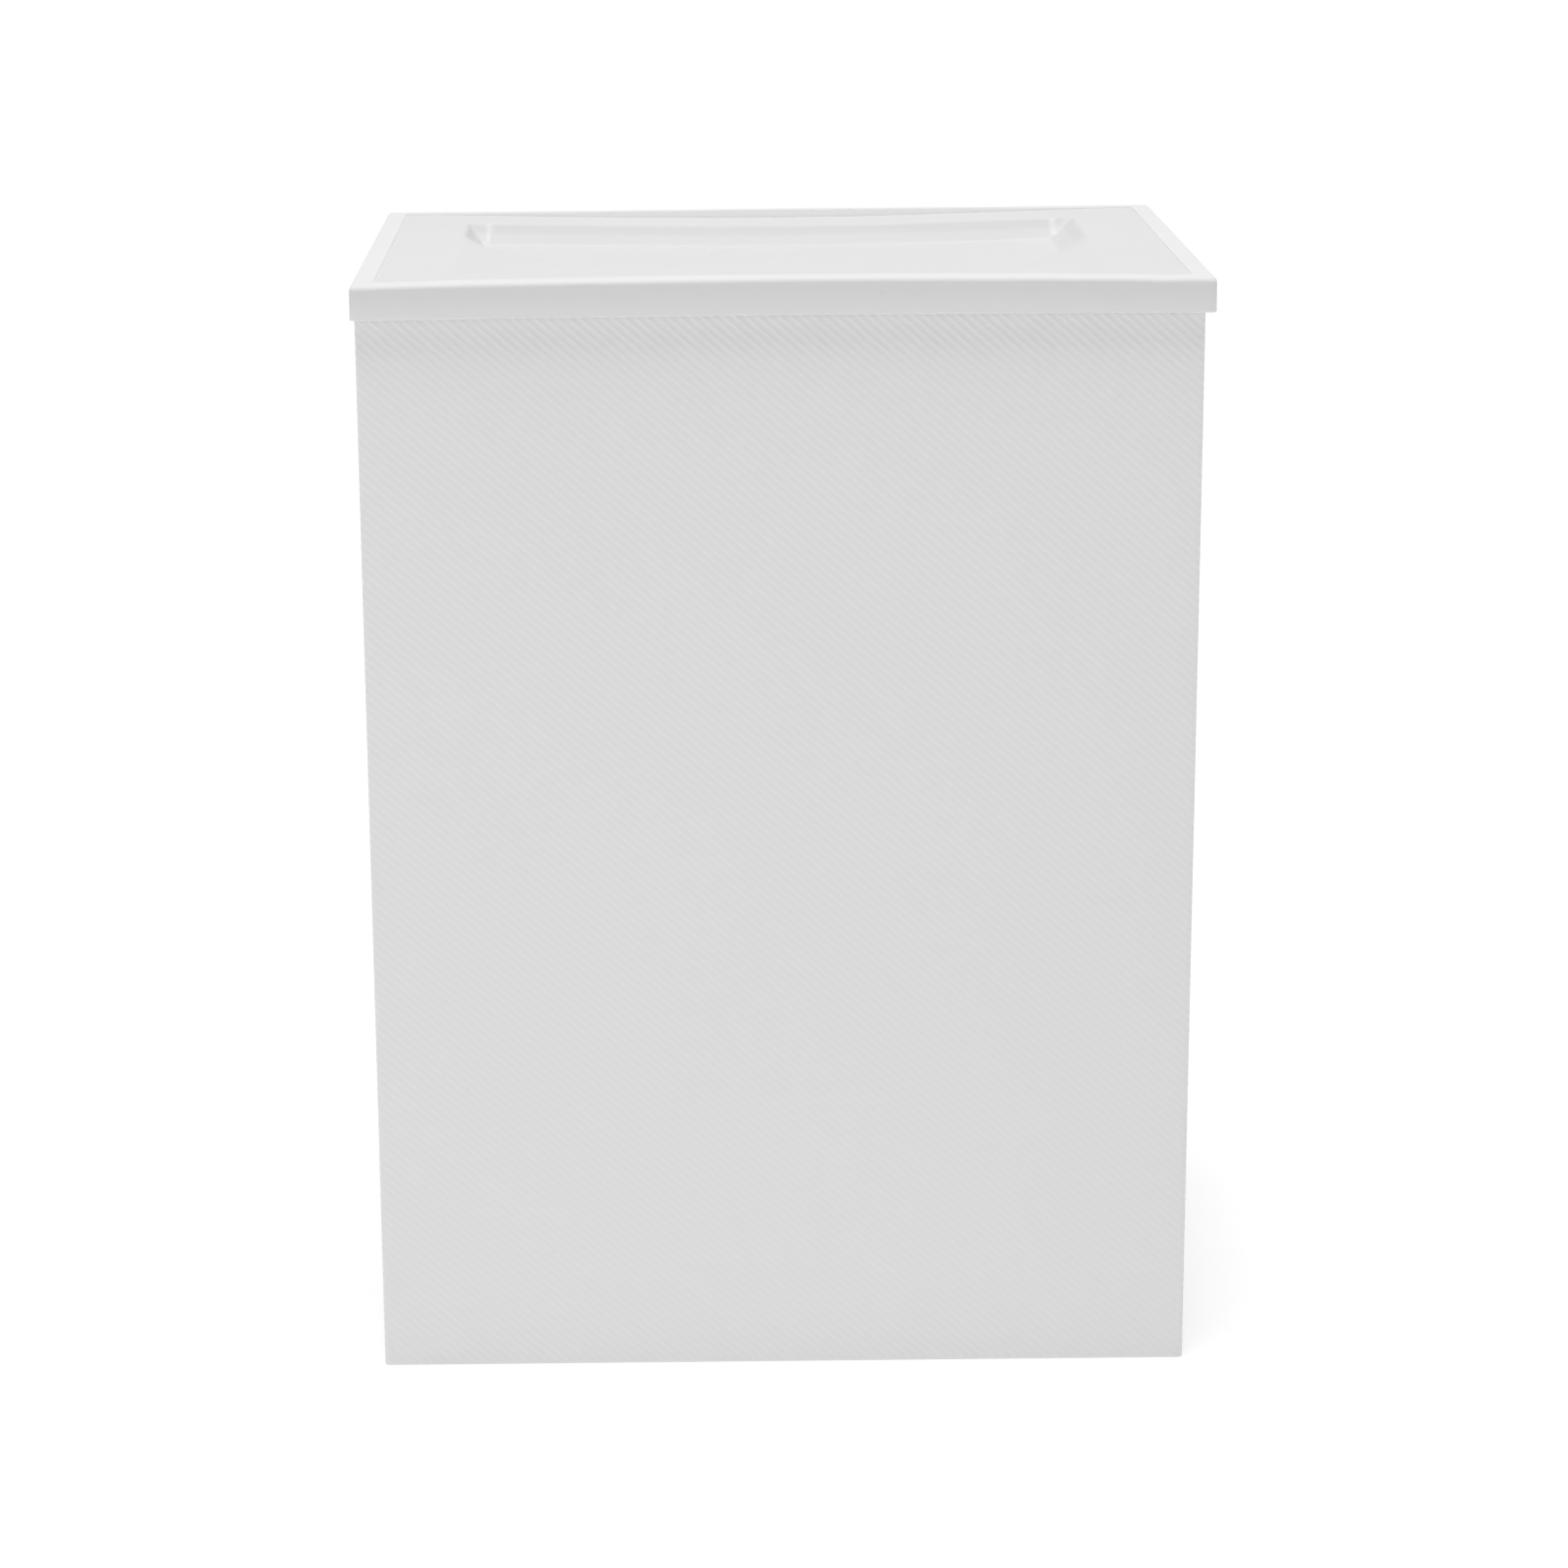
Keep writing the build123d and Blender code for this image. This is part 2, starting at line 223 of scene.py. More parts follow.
def ramp(tree, source, low, high, colour_low, colour_high):
    """Colours between two values of a 0 to 1 source."""
    made = tree.nodes.new("ShaderNodeValToRGB")
    made.color_ramp.elements[0].position = low
    made.color_ramp.elements[0].color = (*colour_low, 1)
    made.color_ramp.elements[1].position = high
    made.color_ramp.elements[1].color = (*colour_high, 1)
    tree.links.new(source, made.inputs["Fac"])
    return made.outputs["Color"]


def plastic(name, colour, shade, roughness, grain_scale, grain_height, specular=0.5, highlight_colour=None):
    """Moulded or calendered white plastic: clouded colour, uneven gloss, fine grain and a few specks.

    shade darkens the clouds. The highlight colour multiplies in where the mesh's tint attribute marks, from
    0 to 1: painted highlights on the ribs' crests, the lid skirt's foot and the insert's pleats.
    """
    material, tree, shader = new_material(name)
    links = tree.links
    place = tree.nodes.new("ShaderNodeTexCoord").outputs["Object"]
    clouds = node(tree, "ShaderNodeTexNoise", Scale=7.0, Detail=5.0, Roughness=0.55)
    links.new(place, clouds.inputs["Vector"])
    darker = tuple(c * s for c, s in zip(colour, shade))
    base = ramp(tree, clouds.outputs["Fac"], 0.36, 0.62, darker, colour)
    # painted highlight: the mesh's tint attribute makes the ribs' crests, the skirt's foot and the insert's
    # pleats paler
    if highlight_colour:
        height = node(tree, "ShaderNodeAttribute", attribute_name="painted_highlight_mask")
        mix = node(tree, "ShaderNodeMix", data_type="RGBA", blend_type="MULTIPLY")
        links.new(height.outputs["Fac"], mix.inputs["Factor"])
        links.new(base, mix.inputs["A"])
        mix.inputs["B"].default_value = (*highlight_colour, 1)
        base = mix.outputs["Result"]
    specks = node(tree, "ShaderNodeTexVoronoi", Scale=58.0, Randomness=1.0)
    links.new(place, specks.inputs["Vector"])
    speck_tint = ramp(tree, specks.outputs["Distance"], 0.02, 0.07, (0.95, 0.945, 0.94), (1, 1, 1))
    rare = node(tree, "ShaderNodeTexNoise", Scale=11.0, Detail=1.0)
    links.new(place, rare.inputs["Vector"])
    rare_mask = ramp(tree, rare.outputs["Fac"], 0.60, 0.66, (0, 0, 0), (1, 1, 1))
    dirt = node(tree, "ShaderNodeMix", data_type="RGBA", blend_type="MULTIPLY")
    links.new(rare_mask, dirt.inputs["Factor"])
    links.new(base, dirt.inputs["A"])
    links.new(speck_tint, dirt.inputs["B"])
    links.new(dirt.outputs["Result"], shader.inputs["Base Color"])
    gloss = node(tree, "ShaderNodeMapRange")
    gloss.inputs["From Min"].default_value = 0.3
    gloss.inputs["From Max"].default_value = 0.7
    gloss.inputs["To Min"].default_value = roughness - 0.05
    gloss.inputs["To Max"].default_value = roughness + 0.07
    smears = node(tree, "ShaderNodeTexNoise", Scale=18.0, Detail=4.0, Distortion=0.6)
    links.new(place, smears.inputs["Vector"])
    links.new(smears.outputs["Fac"], gloss.inputs["Value"])
    links.new(gloss.outputs["Result"], shader.inputs["Roughness"])
    grain = node(tree, "ShaderNodeTexNoise", Scale=grain_scale, Detail=3.0, Roughness=0.6)
    links.new(place, grain.inputs["Vector"])
    bump = node(tree, "ShaderNodeBump", Strength=0.6, Distance=grain_height)
    links.new(grain.outputs["Fac"], bump.inputs["Height"])
    links.new(bump.outputs["Normal"], shader.inputs["Normal"])
    shader.inputs["Specular IOR Level"].default_value = specular
    return material


def zinc_steel():
    """Zinc-plated steel with a faint turned grain."""
    material, tree, shader = new_material("zinc_steel")
    place = tree.nodes.new("ShaderNodeTexCoord").outputs["Object"]
    patches = node(tree, "ShaderNodeTexNoise", Scale=900.0, Detail=3.0)
    tree.links.new(place, patches.inputs["Vector"])
    colour = ramp(tree, patches.outputs["Fac"], 0.35, 0.7, (0.50, 0.50, 0.51), (0.66, 0.66, 0.66))
    tree.links.new(colour, shader.inputs["Base Color"])
    gloss = node(tree, "ShaderNodeMapRange")
    gloss.inputs["To Min"].default_value = 0.28
    gloss.inputs["To Max"].default_value = 0.46
    tree.links.new(patches.outputs["Fac"], gloss.inputs["Value"])
    tree.links.new(gloss.outputs["Result"], shader.inputs["Roughness"])
    shader.inputs["Metallic"].default_value = 1.0
    return material


# the tint below is a painted highlight on the ribs' crests
RIBBED = plastic(
    "ribbed_sheet_white", (0.801, 0.801, 0.801), (0.996, 0.996, 0.995),
    roughness=0.55, grain_scale=1500.0, grain_height=0.04 * MM,
    specular=0.22, highlight_colour=(1.055, 1.055, 1.055))
MOULDED = plastic(
    "moulded_white", (0.82, 0.82, 0.82), (0.98, 0.98, 0.976),
    roughness=0.45, grain_scale=900.0, grain_height=0.04 * MM)
# the tint below is a painted highlight on the skirt's foot
LID_RIM = plastic(
    "lid_rim_white", (0.718, 0.718, 0.718), (0.993, 0.993, 0.992),
    roughness=0.58, grain_scale=700.0, grain_height=0.02 * MM,
    specular=0.10, highlight_colour=(1.08, 1.08, 1.08))
# the tint below is a painted highlight along the insert's pleats
INSERT = plastic(
    "lid_insert_white", (0.663, 0.663, 0.663), (0.990, 0.990, 0.988),
    roughness=0.64, grain_scale=1300.0, grain_height=0.06 * MM,
    specular=0.14, highlight_colour=(1.10, 1.10, 1.10))
NYLON = plastic(
    "rivet_nylon", (0.70, 0.70, 0.68), (0.97, 0.97, 0.96),
    roughness=0.4, grain_scale=1600.0, grain_height=0.02 * MM)
STEEL = zinc_steel()


# ---------------------------------------------------------------- meshes

def add_piece(name, vertices, faces, material, body, sharp_angle, highlight_tint):
    """A mesh piece that rides on a body, smooth up to an angle, with how much painted highlight tints each
    point.
    """
    mesh = bpy.data.meshes.new(name)
    mesh.from_pydata(vertices, [], faces)
    mesh.materials.append(material)
    tints = mesh.attributes.new("painted_highlight_mask", "FLOAT", "POINT")
    tints.data.foreach_set("value", highlight_tint)
    mesh.shade_smooth()
    mesh.set_sharp_from_angle(angle=math.radians(sharp_angle))
    piece = bpy.data.objects.new(name, mesh)
    bpy.context.scene.collection.objects.link(piece)
    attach(piece, body)
    return piece


def along(start, end, longest):
    """Even steps from start to end, both included."""
    count = max(1, math.ceil(abs(end - start) / longest))
    return [start + (end - start) * i / count for i in range(count + 1)]


def wall_path(corners):
    """Columns of a folded sheet seen from outside, left to right.

    Each is (distance along the wall, x, y, outward x, outward y, distance to the nearest fold or end).
    corners are the outer face's corner points; the first and last are its ends.
    """
    columns = []
    travelled = 0.0
    for i in range(len(corners) - 1):
        start, end = Vector(corners[i]), Vector(corners[i + 1])
        heading = (end - start).normalized()
        outward = Vector((heading.y, -heading.x))
        trim_start = FOLD_RADIUS if i > 0 else 0.0
        trim_end = FOLD_RADIUS if i < len(corners) - 2 else 0.0
        length = (end - start).length
        for s in along(trim_start, length - trim_end, COLUMN):
            point = start + heading * s
            edge = min(s, length - s)
            columns.append((travelled + s - trim_start, point.x, point.y, outward.x, outward.y, edge))
        travelled += length - trim_start - trim_end
        if i < len(corners) - 2:
            after = Vector(corners[i + 2]) - end
            turn_to = Vector((after.y, -after.x)).normalized()
            centre = end - (outward + turn_to) * FOLD_RADIUS
            arc = FOLD_RADIUS * math.pi / 2
            for k in range(1, FOLD_STEPS):
                angle = math.pi / 2 * k / FOLD_STEPS
                normal = outward * math.cos(angle) + turn_to * math.sin(angle)
                point = centre + normal * FOLD_RADIUS
                along_fold = travelled + arc * k / FOLD_STEPS
                columns.append((along_fold, point.x, point.y, normal.x, normal.y, 0.0))
            travelled += arc
    return columns


def wave(u, v, low, high, edge, phase):
    """How far thin sheet stands off its flat: a few long waves that die out towards edges and folds."""
    hold = smooth(edge / EDGE_FADE) * smooth((v - low) / EDGE_FADE) * smooth((high - v) / EDGE_FADE)
    rise = (v - low) / (high - low)
    across = LONG_PART * math.sin(u * LONG_TURN + phase) + SHORT_PART * math.sin(u * SHORT_TURN - 2 * phase)
    upward = BELLY_PART * math.sin(math.pi * rise) + SWELL_PART * math.sin(SWELL_TURN * rise + phase)
    return WAVE * hold * (across - upward)


def clipped(polygon, low, high):
    """A polygon of (u, v, height) cut to low <= v <= high."""
    for limit, side in ((low, 1), (high, -1)):
        kept = []
        for i, a in enumerate(polygon):
            b = polygon[(i + 1) % len(polygon)]
            inside_a = (a[1] - limit) * side >= -CUT_PLAY
            inside_b = (b[1] - limit) * side >= -CUT_PLAY
            if inside_a:
                kept.append(a)
            if inside_a != inside_b:
                f = (limit - a[1]) / (b[1] - a[1])
                kept.append((a[0] + (b[0] - a[0]) * f, limit, a[2] + (b[2] - a[2]) * f))
        polygon = kept
        if len(polygon) < 3:
            return []
    return polygon


def rib_lines(low, high):
    """Lines that run along the ribs: offset across them, and the sheet's height there, 0 to 1."""
    pitch = RIB_STEP_U * RIB_STEP_V / math.hypot(RIB_STEP_U, RIB_STEP_V)
    profile = ((-RIB_HALF, 0.0), (-RIB_SHOULDER, SHOULDER_RISE), (0.0, 1.0),
               (RIB_SHOULDER, SHOULDER_RISE), (RIB_HALF, 0.0))
    first, last = math.floor(low / pitch) - 1, math.ceil(high / pitch) + 1
    return [(n * pitch + across, height) for n in range(first, last + 1) for across, height in profile]


def rib_cells(columns, low, high):
    """Cells between two columns and two rib lines: the left column's number and corners (u, v, height)."""
    lean = math.atan2(RIB_STEP_V, RIB_STEP_U)
    s, c = math.sin(lean), math.cos(lean)
    lines = rib_lines(low * c, columns[-1][0] * s + high * c)
    for j in range(len(columns) - 1):
        left, right = columns[j][0], columns[j + 1][0]
        for (t0, h0), (t1, h1) in zip(lines, lines[1:]):
            lowest, highest = (t0 - right * s) / c, (t1 - left * s) / c
            if highest <= low or lowest >= high:
                continue
            cell = [(left, (t0 - left * s) / c, h0), (right, lowest, h0),
                    (right, (t1 - right * s) / c, h1), (left, highest, h1)]
            if lowest < low or highest > high:
                cell = clipped(cell, low, high)
            yield j, cell


def ribbed_sheet(name, corners, low, high, phase, node_name):
    """A closed sheet with embossed ribs that run down to the right on the outside, round every fold."""
    columns = wall_path(corners)
    points, highlight_tint, index, faces = [], [], {}, []

    def corner_index(j, point):
        u, v, height = point
        key = (round(u, SAME_DIGITS), round(v, SAME_DIGITS))
        if key not in index:
            a, b = columns[j], columns[j + 1]
            f = (u - a[0]) / (b[0] - a[0])
            x, y, nx, ny, edge = (a[k] + (b[k] - a[k]) * f for k in range(1, 6))
            out = (height - 1) * RIB_HEIGHT + wave(u, v, low, high, edge, phase)
            index[key] = len(points)
            points.append((x + nx * out, y + ny * out, v, nx, ny))
            # painted highlight: the ribs' crests are painted paler, most near the top of the wall
            highlight_tint.append(height * (CREST_HIGHLIGHT_LOW + (1 - CREST_HIGHLIGHT_LOW) * v / high))
        return index[key]

    for j, cell in rib_cells(columns, low, high):
        corner_ids = [corner_index(j, p) for p in cell]
        corner_ids = [k for i, k in enumerate(corner_ids) if k != corner_ids[i - 1]]
        if len(corner_ids) > 2:
            faces.append(corner_ids)

    outer = [(x, y, z) for x, y, z, _, _ in points]
    thick = SHEET - RIB_HEIGHT
    inner = [(x - nx * thick, y - ny * thick, z) for x, y, z, nx, ny in points]
    shift = len(outer)
    edges = [edge for face in faces for edge in zip(face, face[1:] + face[:1])]
    shared = set(edges)
    cut_edges = [[b, a, a + shift, b + shift] for a, b in edges if (b, a) not in shared]
    insides = [[k + shift for k in reversed(face)] for face in faces]
    piece = add_piece(name, outer + inner, faces + insides + cut_edges, RIBBED,
                      "hamper", SHEET_SHARP, highlight_tint * 2)
    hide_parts(node_name)


def loop_points(width, depth, radius, centre_x):
    """A rounded rectangle as points, counter-clockwise from above, the same count for every size."""
    half_x, half_y = width / 2 - radius, depth / 2 - radius

    def corner_point(side_x, side_y, degrees):
        angle = math.radians(degrees)
        x = centre_x + side_x * half_x + radius * math.cos(angle)
        return x, side_y * half_y + radius * math.sin(angle)

    points = []
    turns = [90 * k / CORNER_STEPS for k in range(CORNER_STEPS + 1)]
    quarters = ((1, -1, -90), (1, 1, 0), (-1, 1, 90), (-1, -1, 180))
    for i, (side_x, side_y, start) in enumerate(quarters):
        points += [corner_point(side_x, side_y, start + turn) for turn in turns]
        a, b = points[-1], corner_point(*quarters[(i + 1) % 4])
        for k in range(1, SIDE_STEPS):
            points.append((a[0] + (b[0] - a[0]) * k / SIDE_STEPS, a[1] + (b[1] - a[1]) * k / SIDE_STEPS))
    return points


def arc_points(centre, radius, start, end, steps):
    """Points of an arc in degrees, both ends included."""
    angles = [math.radians(start + (end - start) * k / steps) for k in range(steps + 1)]
    return [(centre[0] + radius * math.cos(a), centre[1] + radius * math.sin(a)) for a in angles]


def rim_profile(top, skirt_foot):
    """The rim's section as (inset from the outside, height), counter-clockwise, outside at inset 0."""
    under = top - TOP_THICK
    rib_foot = top - INNER_RIB_DROP
    tall = top - skirt_foot
    inner_face = RIM_WIDTH - INNER_RIB
    skirt_top = SKIRT + SKIRT_FLARE
    flare = [FLARE_HEIGHT * k / FLARE_STEPS for k in range(1, FLARE_STEPS + 1)]
    section = [(LIP, skirt_foot), (0.0, skirt_foot + LIP)]
    section += [(SKIRT_FLARE * smooth(f / FLARE_HEIGHT), skirt_foot + LIP + tall * f) for f in flare]
    section += [(SKIRT_FLARE, skirt_foot + tall * SKIRT_ROW)]
    section += arc_points((SKIRT_FLARE + EDGE_ROUND, top - EDGE_ROUND), EDGE_ROUND, 180, 90, EDGE_STEPS)
    section += [(RIM_WIDTH * part, top) for part in TOP_ROWS]
    section += [(RIM_WIDTH - INNER_ROUND - EDGE_PLAY, top)]
    section += arc_points((RIM_WIDTH - INNER_ROUND, top - INNER_ROUND), INNER_ROUND, 90, 0, INNER_STEPS)
    section += [(RIM_WIDTH, rib_foot + 2 * LIP), (RIM_WIDTH, rib_foot + LIP), (RIM_WIDTH - LIP, rib_foot)]
    section += [(inner_face, rib_foot), (inner_face, under - LIP), (inner_face - LIP, under)]
    section += [(skirt_top + LIP, under), (skirt_top, under - LIP)]
    section += [(SKIRT, skirt_foot + LIP), (SKIRT - LIP / 2, skirt_foot)]
    return section


def front_bow(x, half_x):
    """1 in the middle of the lid's front and 0 at its ends."""
    return 1 - (x / half_x) ** 2


def back_sag(x, half_x):
    """How far the insert's back edge, and the rim's inner edge with it, has sunk at a place along X."""
    return SAG_BACK * max(0.0, 1 - (x / (SAG_SPAN * half_x)) ** 2) ** SAG_SHAPE


def rim_lift(x, y, z, half_x, half_y, top, skirt_foot):
    """Warp of the lid's rim: the front stands high and bows up in the middle, with small unevenness."""
    up = smooth((z - skirt_foot) / (top - skirt_foot))
    front = smooth((-y / half_y - FRONT_FROM) / FRONT_FADE)
    bow = front_bow(x, half_x) * (BOW_SKIRT + (BOW_TOP - BOW_SKIRT) * up) * front
    dip = DIP * math.exp(-((x - DIP_PLACE * half_x) / DIP_WIDTH) ** 2) * front * up
    uneven = UNEVEN_X * math.sin(UNEVEN_TURN * x + UNEVEN_PHASE)
    uneven += UNEVEN_Y * math.sin(UNEVEN_TURN_Y * y + UNEVEN_TURN_X * x)
    inner = smooth(1 - min(half_x - abs(x), half_y - abs(y)) / RIM_WIDTH)
    return bow - dip + uneven * inner + FRONT_RAISE * up * (0.5 - 0.5 * y / half_y)


def ear_places(half_x, half_y, centre_x):
    """Each screw's x and y, and the direction from it into the lid."""
    front, side = half_y - SCREW_INSET, half_x - SCREW_INSET
    longs = [(centre_x + x, s * front, 0, -s) for x in (-EAR_SPREAD_X, EAR_SPREAD_X) for s in (-1, 1)]
    shorts = [(centre_x + s * side, y, -s, 0) for y in (-EAR_SPREAD_Y, EAR_SPREAD_Y) for s in (-1, 1)]
    return longs + shorts


def holed_plate(x, y, in_x, in_y, top):
    """One screw ear: a flat tab with a round hole, running from the inner rib into the lid."""
    steps = ROUND_STEPS
    out = SCREW_INSET + INNER_RIB / 2
    inward = EAR_REACH - SCREW_INSET
    vertices, faces = [], []
    for level in (top, top - EAR_THICK):
        for ring in ("hole", "edge"):
            for k in range(steps):
                angle = 2 * math.pi * k / steps
                a, b = math.cos(angle), math.sin(angle)
                if ring == "edge":
                    radius = 1 / max(abs(a) / (inward if a > 0 else out), abs(b) / (EAR_WIDTH / 2))
                else:
                    radius = EAR_HOLE
                dx = in_x * a * radius - in_y * b * radius
                dy = in_y * a * radius + in_x * b * radius
                vertices.append((x + dx, y + dy, level))
    for k in range(steps):
        n = (k + 1) % steps
        faces.append([k, steps + k, steps + n, n])
        faces.append([3 * steps + k, 2 * steps + k, 2 * steps + n, 3 * steps + n])
        faces.append([steps + k, 3 * steps + k, 3 * steps + n, steps + n])
        faces.append([2 * steps + k, k, n, 2 * steps + n])
    return vertices, faces


def corner_radius(inset):
    """Radius of the rim's upright corners at an inset from the outside."""
    if inset < TIGHT_INSET:
        return LID_CORNER - inset
    tightest = LID_CORNER - TIGHT_INSET
    return tightest + (OPENING_CORNER - tightest) * (inset - TIGHT_INSET) / (RIM_WIDTH - TIGHT_INSET)


def lid_rim():
    """The lid's rim: one swept section with its warp, and eight screw ears under it."""
    low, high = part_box("lid_frame")
    top, foot = high.z, low.z
    width, depth = high.x - low.x, high.y - low.y
    centre_x = (high.x + low.x) / 2
    section = rim_profile(top, foot)
    vertices, faces, painted_highlight = [], [], []
    half_x, half_y = width / 2 - RIM_WIDTH, depth / 2 - RIM_WIDTH
    count = 4 * (CORNER_STEPS + SIDE_STEPS)
    for inset, z in section:
        for x, y in loop_points(width - 2 * inset, depth - 2 * inset, corner_radius(inset), centre_x):
            lift = rim_lift(x - centre_x, y, z, width / 2, depth / 2, top, foot)
            sunk = back_sag(x - centre_x, half_x) * (y > half_y - EDGE_PLAY)
            if inset > RIM_WIDTH - 2 * INNER_ROUND and z >= top - INNER_ROUND:
                fallen = min(max((inset - RIM_WIDTH) / INNER_ROUND + 1, 0), 1)
                lift -= sunk * fallen
                y += sunk * LENS_LEAN * (1 - fallen)
            vertices.append((x, y, z + lift))
        # painted highlight: the skirt is paler towards its foot
        painted_highlight += [1 - smooth((z - foot) / (FOOT_HIGHLIGHT_SPAN * (top - foot)))] * count
    rings = len(section)
    for i in range(rings):
        nxt = (i + 1) % rings
        for k in range(count):
            m = (k + 1) % count
            faces.append([i * count + k, i * count + m, nxt * count + m, nxt * count + k])
    for x, y, in_x, in_y in ear_places(half_x, half_y, centre_x):
        start = len(vertices)
        ear_vertices, ear_faces = holed_plate(x, y, in_x, in_y, top - EAR_DROP)
        vertices += ear_vertices
        faces += [[k + start for k in face] for face in ear_faces]
        painted_highlight += [0.0] * len(ear_vertices)
    piece = add_piece("lid_rim", vertices, faces, LID_RIM, "lid", RIM_SHARP, painted_highlight)
    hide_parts("lid_frame")


def pleat(x):
    """1 along the two pleats of the recess's back wall, 0 away from them."""
    return math.exp(-((abs(x) - PLEAT_PLACE) / PLEAT_HALF) ** 2)


def bent_slope(part):
    """Drop of a recess wall, 0 to 1, at a part of its run: steeper above the bend than under it."""
    part = min(max(part, 0.0), 1.0 + BEND_SOFT)
    upper = BEND_DROP / BEND_RUN
    lower = (1 - BEND_DROP) / (1 - BEND_RUN)
    drop = 0.0
    for place, change in ((0.0, upper), (BEND_RUN, lower - upper), (1.0, -lower)):
        past = min(max((part - place) / BEND_SOFT + 0.5, 0.0), 1.0)
        drop += change * (BEND_SOFT * past * past / 2 + max(part - place - BEND_SOFT / 2, 0.0))
    return drop


def soft_least(a, b):
    """The lesser of two numbers, rounded where they are nearly equal."""
    near = max(SOFT_LEAST - abs(a - b), 0.0) / SOFT_LEAST
    return min(a, b) - near * near * SOFT_LEAST / 4


def recess_depth(x, y):
    """How deep the insert lies below its border at a point.

    The back wall has a pleat near each corner. The side walls are steep at the back corners and widen into
    gentle slopes further forward; the front wall is gentle all along.
    """
    half_x, half_y = RECESS_WIDTH / 2, RECESS_DEPTH / 2
    run, hold, fade = (LEFT_RUN, LEFT_HOLD, LEFT_FADE) if x < 0 else (RIGHT_RUN, RIGHT_HOLD, RIGHT_FADE)
    side_run = run + smooth((half_y - hold - y) / fade) * (SIDE_RUN - run)
    back = (half_y - y) / (BACK_RUN + PLEAT_RUN * pleat(x))
    part = soft_least(back, (half_x - abs(x)) / side_run)
    return RECESS_DROP * bent_slope(soft_least(part, (half_y + y) / FRONT_RUN))


def insert_height(x, y, half_x, half_y):
    """Height of the insert's top face over its border's level, at a place from the lid's middle."""
    z = -recess_depth(x, y)
    r = math.hypot(x, y - DISH_BACK) / DISH_RADIUS
    if r < DISH_LIP_END:
        bowl = -DISH_DEEP * (1 - r**DISH_POWER) if r < 1 else 0.0
        z += bowl + DISH_LIP * math.exp(-((r - 1) / DISH_LIP_WIDTH) ** 2)
    back = smooth((y / half_y - BACK_FROM) / BACK_FADE)
    front = smooth((-y / half_y - FORE_FROM) / FORE_FADE)
    z -= back_sag(x, half_x) * (back + SAG_FRONT / SAG_BACK * front)
    z += FRONT_RAISE * (0.5 - 0.5 * y / (half_y + RIM_WIDTH))
    z += BOW_TOP * front_bow(x, half_x + RIM_WIDTH) * smooth((-y / half_y - BOW_FROM) / BOW_FADE)
    held = smooth(min(half_x - abs(x), half_y - abs(y)) / RIPPLE_HOLD)
    ripple = math.sin(RIPPLE_X * x + RIPPLE_X_PHASE) * math.sin(RIPPLE_Y * y + RIPPLE_Y_PHASE)
    return z + RIPPLE * ripple * held


def graded(low, high, dense, fine, coarse):
    """Grid lines from low to high: fine steps inside the dense spans, coarse ones elsewhere."""
    cuts = sorted({low, high, *(min(max(v, low), high) for span in dense for v in span)})
    lines = [low]
    for a, b in zip(cuts, cuts[1:]):
        middle = (a + b) / 2
        step = fine if any(s[0] <= middle <= s[1] for s in dense) else coarse
        lines += along(a, b, step)[1:]
    return lines


def insert_grid(half_x, half_y):
    """Grid lines of the insert across X and Y, close together at the recess's walls and round the dish."""
    wall = BACK_RUN + FINE_MARGIN
    edge_x, edge_y = RECESS_WIDTH / 2 + MOUTH_MARGIN, RECESS_DEPTH / 2 + MOUTH_MARGIN
    reach = DISH_RADIUS * DISH_MARGIN
    dense_x = [(-edge_x, -edge_x + wall), (edge_x - wall, edge_x), (-reach, reach)]
    dense_y = [(-edge_y, -edge_y + wall), (edge_y - wall, edge_y), (DISH_BACK - reach, DISH_BACK + reach)]
    xs = graded(-half_x, half_x, dense_x, FINE_STEP, COARSE_STEP)
    return xs, graded(-half_y, half_y, dense_y, FINE_STEP, COARSE_STEP)


def insert_sheet(half_x, half_y, centre_x, border):
    """The insert's sheet: its top, an underside at an even thickness below it, and its edge."""
    xs, ys = insert_grid(half_x, half_y)
    tops, unders = [], []
    for y in ys:
        for x in xs:
            here = insert_height(x, y, half_x, half_y)
            slope_x = (insert_height(x + SLOPE_STEP, y, half_x, half_y) - here) / SLOPE_STEP
            slope_y = (insert_height(x, y + SLOPE_STEP, half_x, half_y) - here) / SLOPE_STEP
            drop = PANEL_THICK * min(math.sqrt(1 + slope_x**2 + slope_y**2), STEEPEST)
            tops.append((centre_x + x, y, border + here))
            unders.append((centre_x + x, y, border + here - drop))
    columns, rows, shift = len(xs), len(ys), len(tops)
    faces = []
    for i in range(rows - 1):
        for k in range(columns - 1):
            a = i * columns + k
            quad = [a, a + 1, a + 1 + columns, a + columns]
            faces.append(quad)
            faces.append([q + shift for q in reversed(quad)])
    outline = list(range(columns))
    outline += [i * columns + columns - 1 for i in range(1, rows)]
    outline += [(rows - 1) * columns + k for k in range(columns - 2, -1, -1)]
    outline += [i * columns for i in range(rows - 2, 0, -1)]
    for a, b in zip(outline, outline[1:] + outline[:1]):
        faces.append([a, a + shift, b + shift, b])
    return tops + unders, faces


def boss(x, y, foot, top):
    """A round screw boss."""
    steps = ROUND_STEPS
    vertices = []
    for level in (foot, top):
        for k in range(steps):
            angle = 2 * math.pi * k / steps
            vertices.append((x + BOSS_RADIUS * math.cos(angle), y + BOSS_RADIUS * math.sin(angle), level))
    faces = [list(reversed(range(steps))), list(range(steps, 2 * steps))]
    for k in range(steps):
        n = (k + 1) % steps
        faces.append([k, n, steps + n, steps + k])
    return vertices, faces


